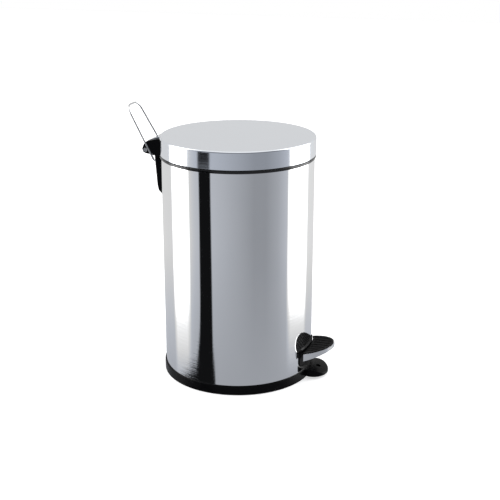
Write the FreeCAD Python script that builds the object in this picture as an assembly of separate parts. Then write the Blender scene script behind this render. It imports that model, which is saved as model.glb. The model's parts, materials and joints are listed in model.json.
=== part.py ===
"""Pedal bin: a round steel body with a hinged lid, a foot pedal and a lift-out bucket.

Millimetres, +Z up. The origin is the centre of the underside, on the body's axis.
The pedal points to -Y, and the hinge and the carrying handle are at +Y.
"""
import FreeCAD
import Part
import math
import os

V = FreeCAD.Vector

# ---- body ----------------------------------------------------------------------
BODY_R = 125.0          # outside radius of the steel body
SHEET = 0.8             # steel sheet
BODY_IN = BODY_R - SHEET
BASE_R = 127.0          # plastic base and top ring, and the lid's skirt
BASE_TOP = 16.2
BASE_BOTTOM = 0.8       # the base hangs this far above the floor, on its rubber ring
SHELL_BOTTOM = 9.0
SHELL_TOP = 372.8
RING_BOTTOM = 369.0
RING_TOP = 374.4

# ---- lid -----------------------------------------------------------------------
LID_BOTTOM = 375.2
LID_TOP = 404.0
LID_ROUND = 3.0

# ---- hinge: a pin along X behind the body --------------------------------------
HINGE_Y = 153.5
HINGE_Z = 373.5
HINGE_PIN_R = 2.5
LID_OPEN = 56.0         # degrees
STRAP_HALF = 17.0       # half width of the steel strap
STRAP_T = 1.2
CHEEK_IN = 17.5         # the bracket's two cheeks
CHEEK_OUT = 28.0
NOSE_OUT = 24.0         # narrower behind the handle's legs

# ---- push rod: hangs from the strap's lug --------------------------------------
CRANK_R = 40.0          # from the hinge pin to the rod's eye
ROD_R = 2.0
ROD_X = 11.0
EYE_Y = HINGE_Y - CRANK_R * math.cos(math.radians(LID_OPEN / 2))
EYE_Z = HINGE_Z - CRANK_R * math.sin(math.radians(LID_OPEN / 2))

# ---- lever ---------------------------------------------------------------------
LEVER_Y = -60.0         # pivot
LEVER_Z = 40.0
LEVER_PIN_R = 3.0
LEVER_T = 1.5
LEVER_HALF = 25.0
LEVER_REAR_HALF = 17.0
LEVER_REAR_Z = 20.0     # top of the plate that the rod stands on
ROD_GAP = 0.6

# ---- pedal ---------------------------------------------------------------------
PAD_HALF = 40.0
PAD_ROOT_Y = -119.1     # centre of the half ellipse
PAD_TIP_Y = -166.2
PAD_REAR_R = 127.7      # the rear edge follows the body
PAD_Z = 51.5            # top of the pad at y = -125
PAD_SLOPE = 0.204
PAD_T = 3.2
TRAY_RIM = 2.0          # the tray shows this far past the pad
TRAY_REAR_R = 132.5
TRAY_SINK = 1.2         # the tray's rim lies this far below the pad's top
TRAY_T = 1.2

# ---- slot in the front of the body ---------------------------------------------
SLOT_HALF = 29.0
SLOT_BOTTOM = 27.0
SLOT_TOP = 50.0
FRAME_HALF = 41.5
FRAME_BOTTOM = 24.8
FRAME_TOP = 55.0
FRAME_OUT = 127.0

# ---- foot under the pedal: an oval, domed towards its tip ----------------------
FOOT_HALF = 27.9
FOOT_Y = -134.5
FOOT_REACH = 23.7
FOOT_BOTTOM = 5.0
DOME_Y = -131.0         # the top is level up to here
DOME_R = 50.0
FOOT_HOLE_Y = -141.8

# ---- carrying handle -----------------------------------------------------------
WIRE_R = 1.5
HANDLE_HALF = 29.26     # at the pivot
HANDLE_TOP_HALF = 22.6  # where the legs' lines meet the top
HANDLE_Y = 135.5
HANDLE_Z = 358.0
HANDLE_LEAN = 28.94     # degrees back from upright
HANDLE_REACH = 99.6     # pivot to the centre of the wire's top
TAIL_HALF = 13.0

# ---- bucket --------------------------------------------------------------------
BUCKET_R = 107.0
BUCKET_FOOT_R = 98.0
BUCKET_BOTTOM = 64.0
BUCKET_TOP = 370.2
BUCKET_WALL = 1.6
FLANGE_R = 119.5
BAIL_R = 113.5
BAIL_Z = 375.0
GRIP_R = 4.5


# ---- helpers -------------------------------------------------------------------
def box(x0, x1, y0, y1, z0, z1):
    return Part.makeBox(x1 - x0, y1 - y0, z1 - z0, V(x0, y0, z0))


def cyl_z(r, z0, z1, x=0.0, y=0.0):
    return Part.makeCylinder(r, z1 - z0, V(x, y, z0), V(0, 0, 1))


def cyl_x(r, x0, x1, y, z):
    return Part.makeCylinder(r, x1 - x0, V(x0, y, z), V(1, 0, 0))


def cyl_y(r, y0, y1, x, z):
    return Part.makeCylinder(r, y1 - y0, V(x, y0, z), V(0, 1, 0))


def tube_z(r_out, r_in, z0, z1, x=0.0, y=0.0):
    return cyl_z(r_out, z0, z1, x, y).cut(cyl_z(r_in, z0 - 1, z1 + 1, x, y))


def tube_x(r_out, r_in, x0, x1, y, z):
    return cyl_x(r_out, x0, x1, y, z).cut(cyl_x(r_in, x0 - 1, x1 + 1, y, z))


def fuse(solids):
    whole = solids[0].multiFuse(solids[1:]) if len(solids) > 1 else solids[0]
    return whole.removeSplitter()


def side_plate(points, x0, x1):
    """A closed outline of (y, z) points, extruded along X."""
    wire = Part.makePolygon([V(x0, y, z) for y, z in points + points[:1]])
    return Part.Face(wire).extrude(V(x1 - x0, 0, 0))


def bent_strip(points, thickness, x0, x1):
    """A flat strip bent along a line of (y, z) points that mark its top surface."""
    lower = []
    for i, (y, z) in enumerate(points):
        y0, z0 = points[max(i - 1, 0)]
        y1, z1 = points[min(i + 1, len(points) - 1)]
        run = math.hypot(y1 - y0, z1 - z0)
        lower.append((y + thickness * (z1 - z0) / run, z - thickness * (y1 - y0) / run))
    return side_plate(points + lower[::-1], x0, x1)


def rounded_window(half, z0, z1, radius, y0, y1):
    """A prism along Y with rounded corners, centred on x = 0."""
    block = box(-half, half, y0, y1, z0, z1)
    edges = [e for e in block.Edges if abs(e.Vertexes[0].Point.y - e.Vertexes[1].Point.y) > 1]
    return block.makeFillet(radius, edges)


def round_circles(solid, radius, z, r=None):
    """Fillet the full circles at height z, and only those of radius r when it is given."""
    edges = []
    for edge in solid.Edges:
        flat = abs(edge.BoundBox.ZMax - z) < 1e-3 and abs(edge.BoundBox.ZMin - z) < 1e-3
        if flat and hasattr(edge.Curve, "Radius") and (r is None or abs(edge.Curve.Radius - r) < 0.01):
            edges.append(edge)
    return solid.makeFillet(radius, edges)


def both_sides(solid):
    """The solid and its mirror image across x = 0."""
    return [solid, solid.mirror(V(0, 0, 0), V(1, 0, 0))]


def group(solids):
    return Part.makeCompound(solids)


def half_ellipse_prism(half, centre_y, tip_y, z0, z1, back_y):
    """A D-shaped prism: a half ellipse towards -Y with straight sides back to back_y."""
    reach = centre_y - tip_y
    if reach >= half:
        curve = Part.Ellipse(V(0, tip_y, z0), V(half, centre_y, z0), V(0, centre_y, z0))
    else:
        curve = Part.Ellipse(V(half, centre_y, z0), V(0, tip_y, z0), V(0, centre_y, z0))
    oval = Part.Face(Part.Wire([curve.toShape()])).extrude(V(0, 0, z1 - z0))
    front = oval.common(box(-half - 1, half + 1, tip_y - 1, centre_y, z0, z1))
    return fuse([front, box(-half, half, centre_y, back_y, z0, z1)])


# ---- body and base -------------------------------------------------------------
def body_shell():
    shell = tube_z(BODY_R, BODY_IN, SHELL_BOTTOM, SHELL_TOP)
    window = rounded_window(SLOT_HALF, SLOT_BOTTOM, SLOT_TOP, 5.0, -BODY_R - 5, -BODY_R + 20)
    shell = shell.cut(window)
    for x in (-7, 7):
        shell = shell.cut(cyl_y(2.1, 110, 130, x, 345))
    return shell


def foot_block(inset, z0):
    """The foot's oval from z0 up to its domed top, with all but the underside inset."""
    curve = Part.Ellipse(V(FOOT_HALF - inset, FOOT_Y, z0), V(0, FOOT_Y - FOOT_REACH + inset, z0), V(0, FOOT_Y, z0))
    oval = Part.Face(Part.Wire([curve.toShape()])).extrude(V(0, 0, 30))
    level = box(-40, 40, DOME_Y, -100, 0, BASE_TOP - inset)
    dome = cyl_x(DOME_R - inset, -40, 40, DOME_Y, BASE_TOP - DOME_R)
    return oval.common(fuse([level, dome]))


def foot():
    block = foot_block(0.0, FOOT_BOTTOM)
    rim = [e for e in block.Edges if e.BoundBox.ZMax > 8 and e.BoundBox.XLength > 5]
    rim = [e for e in rim if e.BoundBox.YLength > 1]
    return block.makeFillet(2.0, rim)


def base():
    drum = round_circles(cyl_z(BASE_R, BASE_BOTTOM, BASE_TOP), 1.2, BASE_TOP)
    solid = fuse([drum, foot()])
    solid = solid.cut(cyl_z(111, BASE_BOTTOM - 1, 8.0))
    solid = solid.cut(cyl_z(121.5, 10.5, BASE_TOP + 1))
    solid = solid.cut(tube_z(BODY_R + 0.1, BODY_IN - 0.1, SHELL_BOTTOM, BASE_TOP + 1))
    solid = solid.cut(tube_z(124.0, 121.0, 14.0, BASE_TOP + 1))
    solid = solid.cut(tube_z(119.1, 112.9, BASE_BOTTOM - 1, 5.0))
    pocket = foot_block(2.5, FOOT_BOTTOM - 1).cut(cyl_z(BASE_R, -1, 20))
    pocket = pocket.cut(cyl_z(7.5, -1, 20, 0, FOOT_HOLE_Y))
    solid = solid.cut(pocket).cut(cyl_z(4.0, -1, 20, 0, FOOT_HOLE_Y))
    bosses = [cyl_z(4.0, 2.5, 9.0, x, y) for x in (-20, 20) for y in (-69, -51)]
    holes = [cyl_z(1.6, 2.0, 12.0, x, y) for x in (-20, 20) for y in (-69, -51)]
    return fuse([solid] + bosses).cut(group(holes))


def non_slip_ring():
    return tube_z(119.0, 113.0, 0.0, 4.9)


def slot_frame():
    plate = rounded_window(FRAME_HALF, FRAME_BOTTOM, FRAME_TOP, 9.0, -135, -100)
    plate = plate.common(tube_z(FRAME_OUT, BODY_R + 0.05, 0, 80))
    collar = rounded_window(SLOT_HALF - 0.2, SLOT_BOTTOM + 0.2, SLOT_TOP - 0.2, 4.8, -135, -100)
    collar = collar.common(tube_z(FRAME_OUT - 0.5, BODY_IN - 1.6, 0, 80))
    hole = rounded_window(SLOT_HALF - 1.7, SLOT_BOTTOM + 1.7, SLOT_TOP - 1.7, 3.3, -140, -90)
    return fuse([plate, collar]).cut(hole)


def top_ring():
    """Caps the steel edge; its inner shelf carries the bucket's flange."""
    bead = round_circles(cyl_z(BASE_R, RING_BOTTOM, RING_TOP), 2.2, RING_TOP)
    bead = round_circles(bead, 2.2, RING_BOTTOM, BASE_R)
    bead = bead.cut(cyl_z(BODY_R + 0.1, 360, SHELL_TOP + 0.1))
    inner = tube_z(BODY_IN - 0.1, 116.0, 366.0, SHELL_TOP + 0.1)
    ring = fuse([bead, inner]).cut(cyl_z(121.6, 368.1, 380)).cut(cyl_z(116, 360, 380))
    notch = box(-22, 22, 100, 130, 360, 380).common(cyl_z(BODY_IN - 0.05, 360, 380))
    return ring.cut(notch)


# ---- lid -----------------------------------------------------------------------
def lid_shell():
    outside = round_circles(cyl_z(BASE_R, LID_BOTTOM, LID_TOP), LID_ROUND, LID_TOP)
    inside = cyl_z(BASE_R - SHEET, LID_BOTTOM - 1, LID_TOP - SHEET)
    inside = round_circles(inside, LID_ROUND - SHEET, LID_TOP - SHEET)
    hem = tube_z(BASE_R - SHEET + 0.1, BASE_R - 2 * SHEET, LID_BOTTOM, LID_BOTTOM + 4)
    lid = fuse([outside.cut(inside), hem])
    bracket_room = box(-CHEEK_OUT - 0.8, CHEEK_OUT + 0.8, 100, 130, LID_BOTTOM - 1, 396.6)
    strap_room = box(-STRAP_HALF - 0.6, STRAP_HALF + 0.6, 117, 130, LID_BOTTOM - 1, 399.6)
    return lid.cut(bracket_room).cut(strap_room)


def lid_strap():
    """Welded under the lid, over the bracket to the hinge pin, with a lug inside for the rod."""
    run = [(96, LID_TOP - SHEET), (115, LID_TOP - SHEET), (124, 398.3), (149, 389.4)]
    plate = bent_strip(run, STRAP_T, -STRAP_HALF, STRAP_HALF)
    cheek_in = STRAP_HALF - STRAP_T - 0.3
    web = [
        (102, 402.4), (115, 402.4), (124, 397.5), (149, 388.6), (156, 382), (158.5, HINGE_Z),
        (148.5, HINGE_Z), (146.5, 377), (122, 377), (122, 373), (110.5, 373), (108, 384),
    ]
    knuckle = cyl_x(5.0, cheek_in, STRAP_HALF, HINGE_Y, HINGE_Z)
    wing = side_plate(web, cheek_in, STRAP_HALF)
    pin_hole = cyl_x(HINGE_PIN_R + 0.05, cheek_in - 5, STRAP_HALF + 5, HINGE_Y, HINGE_Z)
    wings = both_sides(fuse([wing, knuckle]).cut(pin_hole))
    arm = [(122, 377), (122, EYE_Z), (EYE_Y - 3.8, EYE_Z), (110.5, 373), (109.6, 377)]
    lug = side_plate(arm, cheek_in, STRAP_HALF)
    lug = lug.fuse(cyl_x(3.8, cheek_in, STRAP_HALF, EYE_Y, EYE_Z))
    lug = lug.cut(cyl_x(ROD_R + 0.05, cheek_in - 5, STRAP_HALF + 5, EYE_Y, EYE_Z))
    return fuse([plate, lug] + wings)


def lid_bumpers():
    pads = []
    for angle in (-90, 30, 150):
        pad = box(121.9, 130, -5, 5, 374.75, 383).common(cyl_z(BASE_R - 2 * SHEET, 370, 390))
        pads.append(pad.rotate(V(0, 0, 0), V(0, 0, 1), angle))
    return group(pads)


# ---- hinge bracket and pin -----------------------------------------------------
def leg_line(along, ahead):
    """A (y, z) point beside the handle's leg: along it from the pivot, and ahead of it."""
    lean = math.radians(HANDLE_LEAN)
    return (
        HANDLE_Y + along * math.sin(lean) - ahead * math.cos(lean),
        HANDLE_Z + along * math.cos(lean) + ahead * math.sin(lean),
    )


def hinge_bracket():
    block = [
        (115, 366.5), (115, 394), (129, 394), (147.5, 390), (155.3, 383.5), (158.6, 375.5),
        (156.6, 369.9), (151, 367.8), (142.5, 366.9), (136, 366.5),
    ]
    wide = side_plate(block, -CHEEK_OUT, CHEEK_OUT)
    behind = [leg_line(-30, WIRE_R + 0.1), leg_line(60, WIRE_R + 0.1), (190, 400), (190, 330)]
    for x0, x1 in ((-40, -NOSE_OUT), (NOSE_OUT, 40)):
        wide = wide.cut(side_plate(behind, x0, x1))
    slot = side_plate([(100, 371), (145.5, 371), (145.5, 360), (170, 360), (170, 400), (100, 400)],
                      -CHEEK_IN, CHEEK_IN)
    tail_side = [
        (115, 370), (142.5, 370), (141.5, 351), (138.6, 312), (136.6, 303.5),
        (131, 297.6), (115, 297),
    ]
    tail = side_plate(tail_side, -TAIL_HALF, TAIL_HALF)
    long_edges = [
        e for e in tail.Edges
        if abs(abs(e.CenterOfMass.x) - TAIL_HALF) < 0.1 and e.CenterOfMass.y > 130
        and e.BoundBox.ZMax < 369.9
    ]
    tail = tail.makeFillet(3.0, long_edges)
    solid = fuse([wide.cut(slot), tail])
    solid = solid.cut(cyl_z(BASE_R + 0.6, 368.4, 400)).cut(cyl_z(BODY_R + 0.1, 290, 368.5))
    solid = solid.cut(box(-CHEEK_OUT - 1, CHEEK_OUT + 1, 100, 121, 290, 400))
    solid = solid.cut(cyl_x(HINGE_PIN_R, -40, 40, HINGE_Y, HINGE_Z))
    for end in both_sides(cyl_x(4.0, 22.2, 30, HINGE_Y, HINGE_Z)):
        solid = solid.cut(end)
    for end in both_sides(cyl_x(WIRE_R + 0.05, 5.5, 20, HANDLE_Y, HANDLE_Z)):
        solid = solid.cut(end)
    for x in (-7, 7):
        solid = solid.cut(cyl_y(1.5, 120, 135, x, 345))
    return solid


def hinge_screws():
    """Two screws from inside the body, with their heads on a washer each."""
    screws = []
    for x in (-7, 7):
        washer = cyl_y(4.2, 121.9, 122.9, x, 345)
        head = cyl_y(3.4, 120.3, 122.0, x, 345)
        screws.append(fuse([head, washer, cyl_y(1.5, 122, 134, x, 345)]))
    return group(screws)


def hinge_pin():
    return cyl_x(HINGE_PIN_R, -23.0, 23.0, HINGE_Y, HINGE_Z)


def hinge_pin_caps():
    cap = cyl_x(3.7, 22.3, 23.7, HINGE_Y, HINGE_Z).cut(cyl_x(HINGE_PIN_R, 20, 23.05, HINGE_Y, HINGE_Z))
    return group(both_sides(cap))


# ---- carrying handle -----------------------------------------------------------
def wire_along(edges, radius):
    """A round wire swept along connected edges."""
    path = Part.Wire(edges)
    start = path.Edges[0]
    origin = start.valueAt(start.FirstParameter)
    tangent = start.tangentAt(start.FirstParameter)
    profile = Part.Wire([Part.Circle(origin, tangent, radius).toShape()])
    return path.makePipeShell([profile], True, False, 2)


def arc(a, b, c):
    return Part.Arc(a, b, c).toShape()


def bent_line(points, radii):
    """Connected edges along a line of points, with each inner corner rounded to its radius."""
    edges = []
    last = points[0]
    for before, corner, after, radius in zip(points, points[1:], points[2:], radii):
        back = (before - corner).normalize()
        ahead = (after - corner).normalize()
        half_turn = back.getAngle(ahead) / 2
        start = corner + back * (radius / math.tan(half_turn))
        end = corner + ahead * (radius / math.tan(half_turn))
        middle = corner + (back + ahead).normalize() * (radius / math.sin(half_turn) - radius)
        edges += [Part.makeLine(last, start), arc(start, middle, end)]
        last = end
    return edges + [Part.makeLine(last, points[-1])]


def handle_wire():
    """A long tapering U, drawn upright and leaned back; its ends turn in to the pivot holes."""
    end = 8.0
    points = [
        V(-end, 0, 0), V(-HANDLE_HALF, 0, 0), V(-HANDLE_TOP_HALF, 0, HANDLE_REACH),
        V(HANDLE_TOP_HALF, 0, HANDLE_REACH), V(HANDLE_HALF, 0, 0), V(end, 0, 0),
    ]
    wire = wire_along(bent_line(points, [4.0, 15.3, 15.3, 4.0]), WIRE_R)
    wire = wire.rotate(V(0, 0, 0), V(-1, 0, 0), HANDLE_LEAN)
    return wire.translate(V(0, HANDLE_Y, HANDLE_Z))


# ---- lever, pivot and rod ------------------------------------------------------
def pivot_bracket():
    foot = box(-28.7, 28.7, -76, -44, 10.55, 12.0)
    ear = side_plate([(-69, 11), (-51, 11), (-53, LEVER_Z), (-67, LEVER_Z)], 27.2, 28.7)
    ear = ear.fuse(cyl_x(7.0, 27.2, 28.7, LEVER_Y, LEVER_Z))
    solid = fuse([foot] + both_sides(ear)).cut(cyl_x(LEVER_PIN_R, -40, 40, LEVER_Y, LEVER_Z))
    for x in (-20, 20):
        for y in (-69, -51):
            solid = solid.cut(cyl_z(1.7, 5, 20, x, y))
    return solid


def bracket_screws():
    screws = []
    for x in (-20, 20):
        for y in (-69, -51):
            screws.append(fuse([cyl_z(1.6, 3.5, 12.5, x, y), cyl_z(3.2, 12.05, 14.0, x, y)]))
    return group(screws)


def lever_pin():
    return cyl_x(LEVER_PIN_R, -31.0, 31.0, LEVER_Y, LEVER_Z)


def lever_pin_clips():
    return group(both_sides(tube_x(5.0, LEVER_PIN_R, 28.8, 29.8, LEVER_Y, LEVER_Z)))


def lever_bushes():
    sleeve = cyl_x(5.0, 22.0, 25.1, LEVER_Y, LEVER_Z)
    collar = cyl_x(6.6, 25.05, 26.8, LEVER_Y, LEVER_Z)
    bush = fuse([sleeve, collar]).cut(cyl_x(LEVER_PIN_R + 0.05, 20, 30, LEVER_Y, LEVER_Z))
    return group(both_sides(bush))


def tray_top(y):
    """Height of the tray's top surface."""
    return PAD_Z - PAD_T + PAD_SLOPE * (-125.0 - y)


def pedal_lever():
    """A pressed channel through the slot, then a narrower arm to the rod at the rear."""
    gap = 0.05
    top = tray_top(-125) - TRAY_T - gap
    tip = (-151.0, tray_top(-151) - TRAY_T - gap)
    front = bent_strip([tip, (-125, top), (-48, top)], LEVER_T, -LEVER_HALF, LEVER_HALF)
    run = [(-49, top), (-38, top - 1.5), (66, LEVER_REAR_Z + 1), (74, LEVER_REAR_Z), (121, LEVER_REAR_Z)]
    rear = bent_strip(run, LEVER_T, -LEVER_REAR_HALF, LEVER_REAR_HALF)
    side = side_plate([(-128, top), (-128, 43.2), (-67, 43.2), (-67, LEVER_Z), (-53, LEVER_Z),
                       (-50, top)], LEVER_HALF - LEVER_T, LEVER_HALF)
    side = side.fuse(cyl_x(7.0, LEVER_HALF - LEVER_T, LEVER_HALF, LEVER_Y, LEVER_Z))
    side = side.cut(cyl_x(5.0, 10, 40, LEVER_Y, LEVER_Z))
    rail = side_plate([(-49, top - 0.5), (-38, top - 2), (66, LEVER_REAR_Z), (74, LEVER_REAR_Z - 0.5),
                       (118, LEVER_REAR_Z - 0.5), (116, 15.5), (70, 15.5), (-38, 37), (-49, 40)],
                      LEVER_REAR_HALF - LEVER_T, LEVER_REAR_HALF)
    solid = fuse([front, rear] + both_sides(side) + both_sides(rail))
    for x in (-14, 14):
        solid = solid.cut(cyl_z(2.0, 35, 70, x, -144))
    return solid


def push_rod():
    """A round rod whose upper end turns through the strap's lug."""
    points = [
        V(ROD_X, EYE_Y, LEVER_REAR_Z + ROD_GAP + 1.5), V(ROD_X, EYE_Y, EYE_Z),
        V(STRAP_HALF + 3.2, EYE_Y, EYE_Z),
    ]
    return wire_along(bent_line(points, [4.0]), ROD_R)


def rod_foot():
    low = LEVER_REAR_Z + ROD_GAP
    cap = round_circles(cyl_z(4.0, low, low + 9, ROD_X, EYE_Y), 1.2, low)
    return cap.cut(cyl_z(ROD_R, low + 1.5, low + 20, ROD_X, EYE_Y))


def rod_clip():
    return tube_x(3.8, ROD_R, STRAP_HALF + 0.4, STRAP_HALF + 1.4, EYE_Y, EYE_Z)


# ---- pedal ---------------------------------------------------------------------
def above(y0, z0, y1, z1):
    """Everything above the sloping line, as a tool to cut with."""
    return side_plate([(y0, z0), (y1, z1), (y1, z1 + 60), (y0, z0 + 60)], -60, 60)


def pedal_solid(half, tip_y, rear_r, drop_top, low_rear, low_tip):
    """The pedal's outline between a sloping top and a sloping underside."""
    body = half_ellipse_prism(half, PAD_ROOT_Y, tip_y, 25, 80, -112.0)
    body = body.cut(cyl_z(rear_r, 20, 90))
    top = PAD_Z - drop_top
    body = body.cut(above(-175, top + PAD_SLOPE * 50, -100, top - PAD_SLOPE * 25))
    return body.common(above(-175, low_tip, -115, low_rear))


def pedal_tray():
    half = PAD_HALF + TRAY_RIM
    tip = PAD_TIP_Y - TRAY_RIM
    outside = pedal_solid(half, tip, TRAY_REAR_R, TRAY_SINK, 34.0, 55.9)
    inside = pedal_solid(half - TRAY_T, tip + TRAY_T, TRAY_REAR_R + TRAY_T, PAD_T + TRAY_T, 28.0, 49.9)
    seat = pedal_solid(PAD_HALF + 0.05, PAD_TIP_Y - 0.05, 120.0, 0.0, 30.0, 40.0)
    seat = seat.common(above(-175, tray_top(-175), -100, tray_top(-100)))
    under = PAD_Z - PAD_T - TRAY_T
    doorway = box(-LEVER_HALF - 0.4, LEVER_HALF + 0.4, -136, -118, 30, 55)
    doorway = doorway.cut(above(-175, under + PAD_SLOPE * 50, -100, under - PAD_SLOPE * 25))
    tray = outside.cut(inside).cut(seat).cut(doorway)
    for x in (-14, 14):
        tray = tray.cut(cyl_z(2.0, 35, 70, x, -144))
    return tray


def pedal_pad():
    pad = pedal_solid(PAD_HALF, PAD_TIP_Y, PAD_REAR_R, 0.0, 30.0, 40.0)
    low = PAD_Z - PAD_T + 0.05
    pad = pad.common(above(-175, low + PAD_SLOPE * 50, -100, low - PAD_SLOPE * 25))
    groove_top = PAD_Z - 0.8
    well = pedal_solid(PAD_HALF - 3.5, PAD_TIP_Y + 3.5, PAD_REAR_R + 3.5, -5.0, 30.0, 40.0)
    well = well.common(above(-175, groove_top + PAD_SLOPE * 50, -100, groove_top - PAD_SLOPE * 25))
    for x in range(-32, 33, 8):
        well = well.cut(box(x - 1.5, x + 1.5, -175, -110, 40, 80))
    pad = pad.cut(well)
    for x in (-14, 14):
        pad = pad.cut(cyl_z(3.4, 35, tray_top(-144) + 1.9, x, -144))
    return pad


def pedal_rivets():
    rivets = []
    level = tray_top(-144)
    for x in (-14, 14):
        shank = cyl_z(2.0, level - 4.5, level + 0.9, x, -144)
        head = cyl_z(3.2, level + 0.75, level + 1.5, x, -144)
        tail = cyl_z(3.2, level - 5.2, level - 3.9, x, -144)
        rivets.append(fuse([shank, head, tail]))
    return group(rivets)


# ---- bucket --------------------------------------------------------------------
def bucket():
    height = BUCKET_TOP - BUCKET_BOTTOM
    outer = Part.makeCone(BUCKET_FOOT_R, BUCKET_R, height, V(0, 0, BUCKET_BOTTOM))
    outer = round_circles(outer, 5.0, BUCKET_BOTTOM)
    inner = Part.makeCone(BUCKET_FOOT_R - BUCKET_WALL, BUCKET_R - BUCKET_WALL, height,
                          V(0, 0, BUCKET_BOTTOM + 2.0))
    inner = round_circles(inner, 4.0, BUCKET_BOTTOM + 2.0)
    flange = cyl_z(FLANGE_R, BUCKET_TOP - 1.8, BUCKET_TOP)
    flange = flange.cut(box(-24, 24, 106, 125, 360, 380))
    solid = fuse([outer, flange] + both_sides(box(107, 111.3, -5, 5, 369, BAIL_Z + 3.5)))
    solid = solid.cut(inner)
    for pivot in both_sides(cyl_x(WIRE_R + 0.1, 100, 120, 0, BAIL_Z)):
        solid = solid.cut(pivot)
    return solid


def bucket_bail():
    """Lies around the front half of the bucket's flange."""
    end = 106.0
    path = [
        Part.makeLine(V(-end, 0, 0), V(-BAIL_R + 1, 0, 0)),
        arc(V(-BAIL_R + 1, 0, 0), V(-BAIL_R + 0.2929, -0.2929, 0), V(-BAIL_R, -1, 0)),
        arc(V(-BAIL_R, -1, 0), V(0, -BAIL_R - 1, 0), V(BAIL_R, -1, 0)),
        arc(V(BAIL_R, -1, 0), V(BAIL_R - 0.2929, -0.2929, 0), V(BAIL_R - 1, 0, 0)),
        Part.makeLine(V(BAIL_R - 1, 0, 0), V(end, 0, 0)),
    ]
    return wire_along(path, WIRE_R * 0.6).translate(V(0, 0, BAIL_Z))


def bail_grip():
    """A plastic sleeve on the middle of the bail."""
    turn = math.radians(18)
    centre = V(0, -1, BAIL_Z)
    a = centre + V(-BAIL_R * math.sin(turn), -BAIL_R * math.cos(turn), 0)
    b = centre + V(0, -BAIL_R, 0)
    c = centre + V(BAIL_R * math.sin(turn), -BAIL_R * math.cos(turn), 0)
    sleeve = wire_along([arc(a, b, c)], GRIP_R)
    return sleeve.cut(wire_along([arc(a, b, c)], WIRE_R * 0.6))


PARTS = [
    body_shell, base, non_slip_ring, slot_frame, top_ring,
    lid_shell, lid_strap, lid_bumpers,
    hinge_bracket, hinge_screws, hinge_pin, hinge_pin_caps, handle_wire,
    pivot_bracket, bracket_screws, lever_pin, lever_pin_clips, lever_bushes,
    pedal_lever, push_rod, rod_foot, rod_clip,
    pedal_tray, pedal_pad, pedal_rivets,
    bucket, bucket_bail, bail_grip,
]

os.makedirs("parts", exist_ok=True)
for make in PARTS:
    make().exportStep(f"parts/{make.__name__}.step")
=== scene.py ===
"""Pedal bin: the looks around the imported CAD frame.

Metres, +Z up. The pedal points to -Y, and the hinge and the carrying handle are at +Y.
Sizes are written in millimetres and multiplied by MM where they become geometry.
"""

import json
import math

import bmesh
import bpy
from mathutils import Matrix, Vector

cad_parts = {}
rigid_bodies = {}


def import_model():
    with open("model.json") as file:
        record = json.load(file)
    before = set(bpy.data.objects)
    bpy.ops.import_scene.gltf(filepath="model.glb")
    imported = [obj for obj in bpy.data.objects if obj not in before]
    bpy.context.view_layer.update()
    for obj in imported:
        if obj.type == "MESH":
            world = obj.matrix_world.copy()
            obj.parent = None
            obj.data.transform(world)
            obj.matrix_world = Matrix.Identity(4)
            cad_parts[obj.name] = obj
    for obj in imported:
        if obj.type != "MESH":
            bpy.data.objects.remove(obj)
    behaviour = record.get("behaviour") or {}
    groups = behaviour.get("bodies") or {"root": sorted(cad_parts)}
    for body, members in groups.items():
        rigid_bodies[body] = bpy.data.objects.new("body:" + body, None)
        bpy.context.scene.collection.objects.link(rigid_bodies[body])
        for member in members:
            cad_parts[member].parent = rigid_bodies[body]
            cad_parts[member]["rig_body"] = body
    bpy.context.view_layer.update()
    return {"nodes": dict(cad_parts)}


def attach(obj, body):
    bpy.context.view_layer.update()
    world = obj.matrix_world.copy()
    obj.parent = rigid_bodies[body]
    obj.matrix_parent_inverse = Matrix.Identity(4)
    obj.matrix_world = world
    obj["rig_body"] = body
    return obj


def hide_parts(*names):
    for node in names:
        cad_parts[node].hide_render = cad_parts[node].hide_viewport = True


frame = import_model()
NODES = frame["nodes"]
MM = 0.001


def add_object(name, data):
    obj = bpy.data.objects.new(name, data)
    bpy.context.collection.objects.link(obj)
    return obj


# ---- camera --------------------------------------------------------------------
CAMERA_AT = Vector((-1.5330, -0.4981, 0.7414))
CAMERA_HEADING = 17.31      # degrees from +X towards +Y
CAMERA_DROP = 18.335        # degrees below the horizon
CAMERA_LENS = 72.83


def heading(degrees, drop=0.0):
    """A unit vector at this heading, dropped below the horizon."""
    turn, fall = math.radians(degrees), math.radians(drop)
    return Vector((math.cos(turn) * math.cos(fall), math.sin(turn) * math.cos(fall), -math.sin(fall)))


def make_camera():
    data = bpy.data.cameras.new("camera")
    data.lens = CAMERA_LENS
    data.sensor_width = 36.0
    data.clip_start, data.clip_end = 0.05, 50.0
    camera = add_object("camera", data)
    camera.location = CAMERA_AT
    camera.rotation_mode = "QUATERNION"
    camera.rotation_quaternion = heading(CAMERA_HEADING, CAMERA_DROP).to_track_quat("-Z", "Y")
    bpy.context.scene.camera = camera


# ---- node helpers --------------------------------------------------------------
def add(tree, kind, inputs=(), **settings):
    """A node with its settings and inputs. An input is a value or another node's output."""
    made = tree.nodes.new(kind)
    for key, value in settings.items():
        setattr(made, key, value)
    for key, value in dict(inputs).items():
        if isinstance(value, bpy.types.NodeSocket):
            tree.links.new(value, made.inputs[key])
        else:
            made.inputs[key].default_value = value
    return made


def ramp(tree, factor, stops):
    """Grey or coloured stops (position, tone) along a factor."""
    made = add(tree, "ShaderNodeValToRGB", {"Fac": factor})
    elements = made.color_ramp.elements
    while len(elements) < len(stops):
        elements.new(0.5)
    for element, (position, tone) in zip(elements, stops):
        element.position = position
        element.color = (*tone, 1.0) if isinstance(tone, tuple) else (tone, tone, tone, 1.0)
    return made.outputs["Color"]


def math_node(tree, operation, a, b=0.0):
    return add(tree, "ShaderNodeMath", {0: a, 1: b}, operation=operation).outputs[0]


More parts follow.
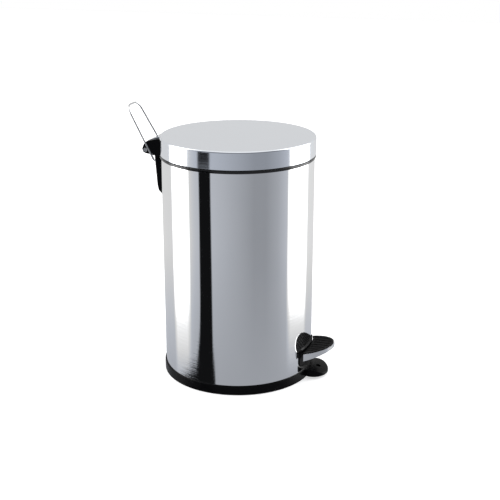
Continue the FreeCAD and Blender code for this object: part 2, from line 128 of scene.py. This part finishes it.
def spread(tree, value, low, high, to_low=0.0, to_high=1.0):
    """value from low..high carried to to_low..to_high, clamped."""
    made = add(tree, "ShaderNodeMapRange", {
        "Value": value, "From Min": low, "From Max": high, "To Min": to_low, "To Max": to_high})
    return made.outputs["Result"]


# ---- studio --------------------------------------------------------------------
# Round angles are degrees from the camera's side towards its right hand, and heights
# are degrees above the horizon.
WALLS = [                   # (round angle, tone)
    (-180, 0.71), (-122, 0.72), (-79, 0.72), (-71, 0.60), (-64, 0.54), (-40, 0.51), (-20, 0.46),
    (0, 0.395), (24, 0.31), (42, 0.31), (62, 0.40), (79, 0.54), (129, 0.80), (180, 0.71),
]
FRONT_HALF = 72.0           # the upper room behind the camera is unlit this far to each side
FRONT_EDGE = 20.0
FRONT_RISE = (-6.0, 5.0)
FRONT_TONE = 0.20
FLOOR_HEIGHTS = (-18.0, -26.5)      # the walls give way to the pale floor
FLOOR_TONE = 0.37
STRIPS = [(-114, -81.5, 1.0), (83.5, 126, 0.82)]    # tall lights: round angles, share of the tones
STRIP_TONES = [(-30, 0.30), (-25.5, 0.46), (-24.3, 0.66), (-22.3, 1.04), (-19, 4.0)]    # by height
STRIP_MOST = 4.0
STRIP_EDGE = 9.0
DOOR_LEFT = [               # a dark doorway, which widens to the floor: (height, degrees to the left)
    (-25.7, 112), (-25.2, 88), (-24.7, 69.5), (-23.9, 64.8), (-22.7, 61.4), (-21.2, 60.2), (-17, 59.7),
]
DOOR_RIGHT = [(-25.6, 36.0), (-24.6, 37.8), (-23.8, 39.9), (-15.6, 40.8)]
DOOR_MOST = 120.0
DOOR_EDGE = 2.0
DOOR_TOP = (-10.5, -5.5)
DOOR_TONE = 0.006
CEILING = (35.0, 65.0)
GREY_TINT = (0.960, 1.0, 1.09)
TINTED = (0.52, 0.68)       # tones below the first are cool, and above the second neutral
WHITE = (1.0, 1.0, 1.0)


def by_degrees(tree, degrees, stops, low, high, most):
    """A value along an angle from low to high, from (degrees, value) stops up to most."""
    places = [((angle - low) / (high - low), value / most) for angle, value in stops]
    tone = ramp(tree, spread(tree, degrees, low, high), places)
    return math_node(tree, "MULTIPLY", tone, most)


def between(tree, degrees, low, high, edge):
    """1 between two angles, with edges this many degrees wide."""
    above = spread(tree, math_node(tree, "SUBTRACT", degrees, low), -edge / 2, edge / 2)
    below = spread(tree, math_node(tree, "SUBTRACT", degrees, high), -edge / 2, edge / 2, 1.0, 0.0)
    return math_node(tree, "MULTIPLY", above, below)


def mixed(tree, factor, first, second):
    """From one tone to another; a tone is a value or a node's output."""
    return add(tree, "ShaderNodeMix", {"Factor": factor, 2: first, 3: second}, data_type="FLOAT").outputs[0]


def room_tone(tree, degrees, height):
    """The walls, the unlit room behind the camera and the floor."""
    walls = by_degrees(tree, degrees, WALLS, -180, 180, 1.0)
    front = between(tree, degrees, -FRONT_HALF, FRONT_HALF, FRONT_EDGE)
    unlit = math_node(tree, "MULTIPLY", front, spread(tree, height, *FRONT_RISE))
    walls = mixed(tree, unlit, walls, FRONT_TONE)
    return mixed(tree, spread(tree, height, *FLOOR_HEIGHTS), walls, FLOOR_TONE)


def doorway(tree, degrees, height):
    """1 inside the doorway."""
    left, right = (
        math_node(tree, "MULTIPLY", by_degrees(tree, height, edge, -26, -10, DOOR_MOST), -1.0)
        for edge in (DOOR_LEFT, DOOR_RIGHT)
    )
    inside = between(tree, degrees, left, right, DOOR_EDGE)
    return math_node(tree, "MULTIPLY", inside, spread(tree, height, *DOOR_TOP, 1.0, 0.0))


def studio_tone(tree, degrees, height):
    tone = room_tone(tree, degrees, height)
    light = by_degrees(tree, height, STRIP_TONES, -30, -10, STRIP_MOST)
    for low, high, share in STRIPS:
        strip = math_node(tree, "MULTIPLY", light, share)
        tone = mixed(tree, between(tree, degrees, low, high, STRIP_EDGE), tone, strip)
    tone = mixed(tree, doorway(tree, degrees, height), tone, DOOR_TONE)
    return mixed(tree, spread(tree, height, *CEILING), tone, 1.0)


def dot(tree, direction, axis):
    made = add(tree, "ShaderNodeVectorMath", {0: direction, 1: axis}, operation="DOT_PRODUCT")
    return made.outputs["Value"]


def make_world():
    world = bpy.data.worlds.new("studio")
    bpy.context.scene.world = world
    world.use_nodes = True
    tree = world.node_tree
    tree.nodes.clear()
    direction = add(tree, "ShaderNodeTexCoord").outputs["Generated"]
    to_back = dot(tree, direction, heading(CAMERA_HEADING + 180.0))
    to_right = dot(tree, direction, heading(CAMERA_HEADING - 90.0))
    up = dot(tree, direction, Vector((0, 0, 1)))
    degrees = math_node(tree, "DEGREES", math_node(tree, "ARCTAN2", to_right, to_back))
    height = math_node(tree, "DEGREES", math_node(tree, "ARCSINE", up))
    tone = studio_tone(tree, degrees, height)
    cool = blend_colours(tree, spread(tree, tone, *TINTED), GREY_TINT, WHITE)
    tint = add(tree, "ShaderNodeVectorMath", {0: cool, 1: tone}, operation="MULTIPLY").outputs[0]
    seen = add(tree, "ShaderNodeBackground", {"Color": (*WHITE, 1.0), "Strength": 1.0})
    lighting = add(tree, "ShaderNodeBackground", {"Color": tint, "Strength": 1.0})
    pick = add(tree, "ShaderNodeMixShader", {
        0: add(tree, "ShaderNodeLightPath").outputs["Is Camera Ray"],
        1: lighting.outputs[0], 2: seen.outputs[0]})
    add(tree, "ShaderNodeOutputWorld", {"Surface": pick.outputs[0]})
    bpy.context.scene.view_settings.view_transform = "Standard"


def make_floor():
    half = 6.0
    corners = [(-half, -half, 0), (half, -half, 0), (half, half, 0), (-half, half, 0)]
    mesh = bpy.data.meshes.new("floor")
    mesh.from_pydata(corners, [], [(0, 1, 2, 3)])
    floor = add_object("floor", mesh)
    material = bpy.data.materials.new("floor")
    material.use_nodes = True
    shader = material.node_tree.nodes["Principled BSDF"]
    shader.inputs["Base Color"].default_value = (0.86, 0.86, 0.86, 1.0)
    shader.inputs["Roughness"].default_value = 1.0
    shader.inputs["Specular IOR Level"].default_value = 0.0
    shader.inputs["Emission Color"].default_value = (1.0, 1.0, 1.0, 1.0)
    shader.inputs["Emission Strength"].default_value = 0.6
    mesh.materials.append(material)
    floor.visible_glossy = False


# ---- materials -----------------------------------------------------------------
WEAR_REACH = 1.2 * MM
SKIRT = (0.401, 0.375)      # heights of the lid's skirt, top to bottom, in metres


def surface(name, **constants):
    """A material with a Principled shader; constants go straight on its sockets."""
    material = bpy.data.materials.new(name)
    material.use_nodes = True
    tree = material.node_tree
    shader = tree.nodes["Principled BSDF"]
    for key, value in constants.items():
        shader.inputs[key.replace("_", " ")].default_value = value
    return material, tree, shader


def grain(tree, stretch, scale, detail=4.0):
    """Noise in the object's own metres, squeezed along x, y, z by stretch."""
    place = add(tree, "ShaderNodeTexCoord").outputs["Object"]
    mapped = add(tree, "ShaderNodeMapping", {"Vector": place, "Scale": stretch}).outputs[0]
    return add(tree, "ShaderNodeTexNoise", {"Vector": mapped, "Scale": scale, "Detail": detail}).outputs[0]


def bumps(tree, shader, layers):
    """Stacked bump layers of (height, strength, distance)."""
    normal = None
    for height, strength, distance in layers:
        inputs = {"Height": height, "Strength": strength, "Distance": distance}
        if normal is not None:
            inputs["Normal"] = normal
        normal = add(tree, "ShaderNodeBump", inputs).outputs[0]
    tree.links.new(normal, shader.inputs["Normal"])


def worn_edges(tree):
    """1 along edges that get rubbed, 0 on open faces."""
    soft = add(tree, "ShaderNodeBevel", {"Radius": WEAR_REACH}, samples=4).outputs[0]
    hard = add(tree, "ShaderNodeNewGeometry").outputs["Normal"]
    along = add(tree, "ShaderNodeVectorMath", {0: soft, 1: hard}, operation="DOT_PRODUCT").outputs["Value"]
    edge = spread(tree, math_node(tree, "SUBTRACT", 1.0, along), 0.005, 0.08)
    patches = spread(tree, grain(tree, (1, 1, 1), 180.0), 0.42, 0.62)
    return math_node(tree, "MULTIPLY", edge, patches)


def blend_colours(tree, factor, first, second):
    return add(tree, "ShaderNodeMix", {"Factor": factor, 6: (*first, 1.0), 7: (*second, 1.0)},
               data_type="RGBA").outputs[2]


def paint(tree, shader, colour, rough):
    tree.links.new(colour, shader.inputs["Base Color"])
    tree.links.new(rough, shader.inputs["Roughness"])


def polished_steel():
    """Mirror sheet: faint rolling waves, finger smudges and fine polishing lines round it."""
    material, tree, shader = surface("polished_steel", Metallic=1.0)
    smudge = grain(tree, (1, 1, 1), 22.0, 3.0)
    lines = grain(tree, (6, 6, 900), 1.0, 6.0)
    colour = blend_colours(tree, smudge, (0.88, 0.89, 0.90), (0.92, 0.92, 0.92))
    dull = spread(tree, smudge, 0.35, 0.75, 0.03, 0.055)
    paint(tree, shader, colour, math_node(tree, "ADD", dull, spread(tree, lines, 0.45, 0.8, 0.0, 0.02)))
    bumps(tree, shader, [(grain(tree, (1, 1, 0.5), 9.0, 1.0), 0.5, 0.00035), (lines, 0.04, 0.0004)])
    return material


def lid_steel():
    """Satin sheet with fine lines along the skirt, which flares a little to its lower edge."""
    material, tree, shader = surface("lid_steel", Metallic=1.0)
    smudge = grain(tree, (1, 1, 1), 16.0, 3.0)
    lines = grain(tree, (5, 5, 1100), 1.0, 8.0)
    colour = blend_colours(tree, lines, (0.82, 0.85, 0.895), (0.87, 0.90, 0.945))
    dull = spread(tree, smudge, 0.3, 0.7, 0.07, 0.10)
    paint(tree, shader, colour, math_node(tree, "ADD", dull, spread(tree, lines, 0.4, 0.8, 0.0, 0.04)))
    place = add(tree, "ShaderNodeTexCoord").outputs["Object"]
    level = add(tree, "ShaderNodeSeparateXYZ", {0: place}).outputs["Z"]
    flare = math_node(tree, "POWER", spread(tree, level, *SKIRT), 2.0)
    bumps(tree, shader, [
        (grain(tree, (1, 1, 0.6), 8.0, 1.0), 0.4, 0.0004), (lines, 0.08, 0.0003), (flare, 1.0, 0.00055)])
    return material


def zinc_steel():
    """Zinc plate on pressed steel: cloudy, with faint crystals."""
    material, tree, shader = surface("zinc_steel", Metallic=1.0)
    cloud = grain(tree, (1, 1, 1), 60.0, 6.0)
    patches = spread(tree, cloud, 0.35, 0.65)
    colour = blend_colours(tree, patches, (0.52, 0.53, 0.55), (0.70, 0.70, 0.69))
    paint(tree, shader, colour, spread(tree, cloud, 0.3, 0.7, 0.26, 0.42))
    bumps(tree, shader, [(grain(tree, (1, 1, 1), 900.0, 2.0), 0.12, 0.0003)])
    return material


def chrome_wire():
    """Bright wire with fine drawing marks."""
    material, tree, shader = surface("chrome_wire", Metallic=1.0)
    marks = grain(tree, (1, 1, 0.12), 700.0, 3.0)
    colour = blend_colours(tree, marks, (0.56, 0.57, 0.58), (0.66, 0.66, 0.66))
    paint(tree, shader, colour, spread(tree, marks, 0.35, 0.7, 0.07, 0.14))
    bumps(tree, shader, [(marks, 0.05, 0.0002)])
    return material


def moulded(name, dark, worn, rough, pitch, depth, shine):
    """Moulded plastic: grain of a pitch in millimetres, uneven sheen, and edges rubbed paler."""
    material, tree, shader = surface(name, Specular_IOR_Level=shine)
    sheen = grain(tree, (1, 1, 1), 35.0, 5.0)
    colour = blend_colours(tree, worn_edges(tree), dark, worn)
    paint(tree, shader, colour, spread(tree, sheen, 0.3, 0.7, *rough))
    bumps(tree, shader, [(grain(tree, (1, 1, 1), 1.0 / (pitch * MM), 2.0), depth, 0.0002)])
    return material


MATERIALS = {make.__name__: make() for make in (polished_steel, lid_steel, zinc_steel, chrome_wire)}
MOULDED = {
    "black_plastic": dict(dark=(0.0025, 0.0025, 0.003), worn=(0.014, 0.014, 0.015),
                          rough=(0.22, 0.32), pitch=0.5, depth=0.10, shine=0.05),
    "black_ring": dict(dark=(0.0025, 0.0025, 0.003), worn=(0.012, 0.012, 0.013),
                       rough=(0.09, 0.14), pitch=0.8, depth=0.04, shine=0.55),
    "pad_plastic": dict(dark=(0.005, 0.005, 0.0055), worn=(0.022, 0.022, 0.022),
                        rough=(0.40, 0.55), pitch=0.4, depth=0.25, shine=0.04),
    "rubber": dict(dark=(0.010, 0.010, 0.010), worn=(0.04, 0.04, 0.04),
                   rough=(0.55, 0.75), pitch=0.3, depth=0.30, shine=0.3),
    "bucket_plastic": dict(dark=(0.014, 0.014, 0.015), worn=(0.05, 0.05, 0.052),
                           rough=(0.36, 0.50), pitch=0.6, depth=0.20, shine=0.4),
    "nylon": dict(dark=(0.62, 0.60, 0.55), worn=(0.72, 0.71, 0.68),
                  rough=(0.35, 0.5), pitch=0.5, depth=0.10, shine=0.4),
}
MATERIALS.update({name: moulded(name, **look) for name, look in MOULDED.items()})
FINISH = {
    "body_shell": "polished_steel", "base": "black_plastic", "non_slip_ring": "rubber",
    "slot_frame": "black_plastic", "top_ring": "black_ring", "lid_shell": "lid_steel",
    "lid_strap": "lid_steel", "lid_bumpers": "rubber", "hinge_bracket": "black_plastic",
    "hinge_screws": "zinc_steel", "hinge_pin": "zinc_steel", "hinge_pin_caps": "chrome_wire",
    "handle_wire": "chrome_wire", "pivot_bracket": "zinc_steel", "bracket_screws": "zinc_steel",
    "lever_pin": "zinc_steel", "lever_pin_clips": "zinc_steel", "lever_bushes": "nylon",
    "pedal_lever": "zinc_steel", "push_rod": "zinc_steel", "rod_foot": "nylon",
    "rod_clip": "zinc_steel", "pedal_tray": "polished_steel", "pedal_pad": "pad_plastic",
    "pedal_rivets": "zinc_steel", "bucket": "bucket_plastic", "bucket_bail": "chrome_wire",
    "bail_grip": "black_plastic",
}


def dress(obj, finish):
    obj.data.materials.clear()
    obj.data.materials.append(MATERIALS[finish])


def stand_for(obj, node):
    """obj is the finished piece for a CAD node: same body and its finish."""
    finish = FINISH[node]
    dress(obj, finish)
    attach(obj, NODES[node]["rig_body"])
    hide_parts(node)


# ---- rounded pieces ------------------------------------------------------------
MERGE = 2e-6                # metres
FLAT_ANGLE = 0.8            # facets that turn less than this, in degrees, become one
EDGE_ANGLE = 35.0           # edges that turn more than this, in degrees, are rounded


def softened(node, width):
    """The node's shape again, with its edges rounded over by a width in millimetres."""
    mesh = NODES[node].data.copy()
    mesh.name = node + "_soft"
    work = bmesh.new()
    work.from_mesh(mesh)
    bmesh.ops.remove_doubles(work, verts=work.verts, dist=MERGE)
    flat = math.radians(FLAT_ANGLE)
    bmesh.ops.dissolve_limit(work, angle_limit=flat, verts=work.verts, edges=work.edges)
    for face in work.faces:
        face.smooth = True
    work.to_mesh(mesh)
    work.free()
    if "custom_normal" in mesh.attributes:
        mesh.attributes.remove(mesh.attributes["custom_normal"])
    obj = add_object(node + "_soft", mesh)
    bevel = obj.modifiers.new("bevel", "BEVEL")
    bevel.width = width * MM
    bevel.segments = 2
    bevel.limit_method = "ANGLE"
    bevel.angle_limit = math.radians(EDGE_ANGLE)
    bevel.miter_outer = "MITER_ARC"
    bevel.use_clamp_overlap = True
    bevel.harden_normals = True
    stand_for(obj, node)


for node_name, cad_piece in NODES.items():
    dress(cad_piece, FINISH[node_name])

SOFT_EDGES = {              # millimetres
    "base": 0.6, "slot_frame": 0.8, "hinge_bracket": 1.0, "lid_strap": 0.35, "pedal_tray": 0.4,
    "pedal_pad": 0.4, "pivot_bracket": 0.3, "pedal_lever": 0.3, "rod_foot": 0.4, "lever_bushes": 0.3,
    "hinge_pin_caps": 0.4, "hinge_screws": 0.3, "bracket_screws": 0.3, "rod_clip": 0.2,
    "lever_pin_clips": 0.2, "lid_bumpers": 0.6, "non_slip_ring": 0.6, "pedal_rivets": 0.3,
}
for node_name, edge in SOFT_EDGES.items():
    softened(node_name, edge)

make_world()
make_floor()
make_camera()
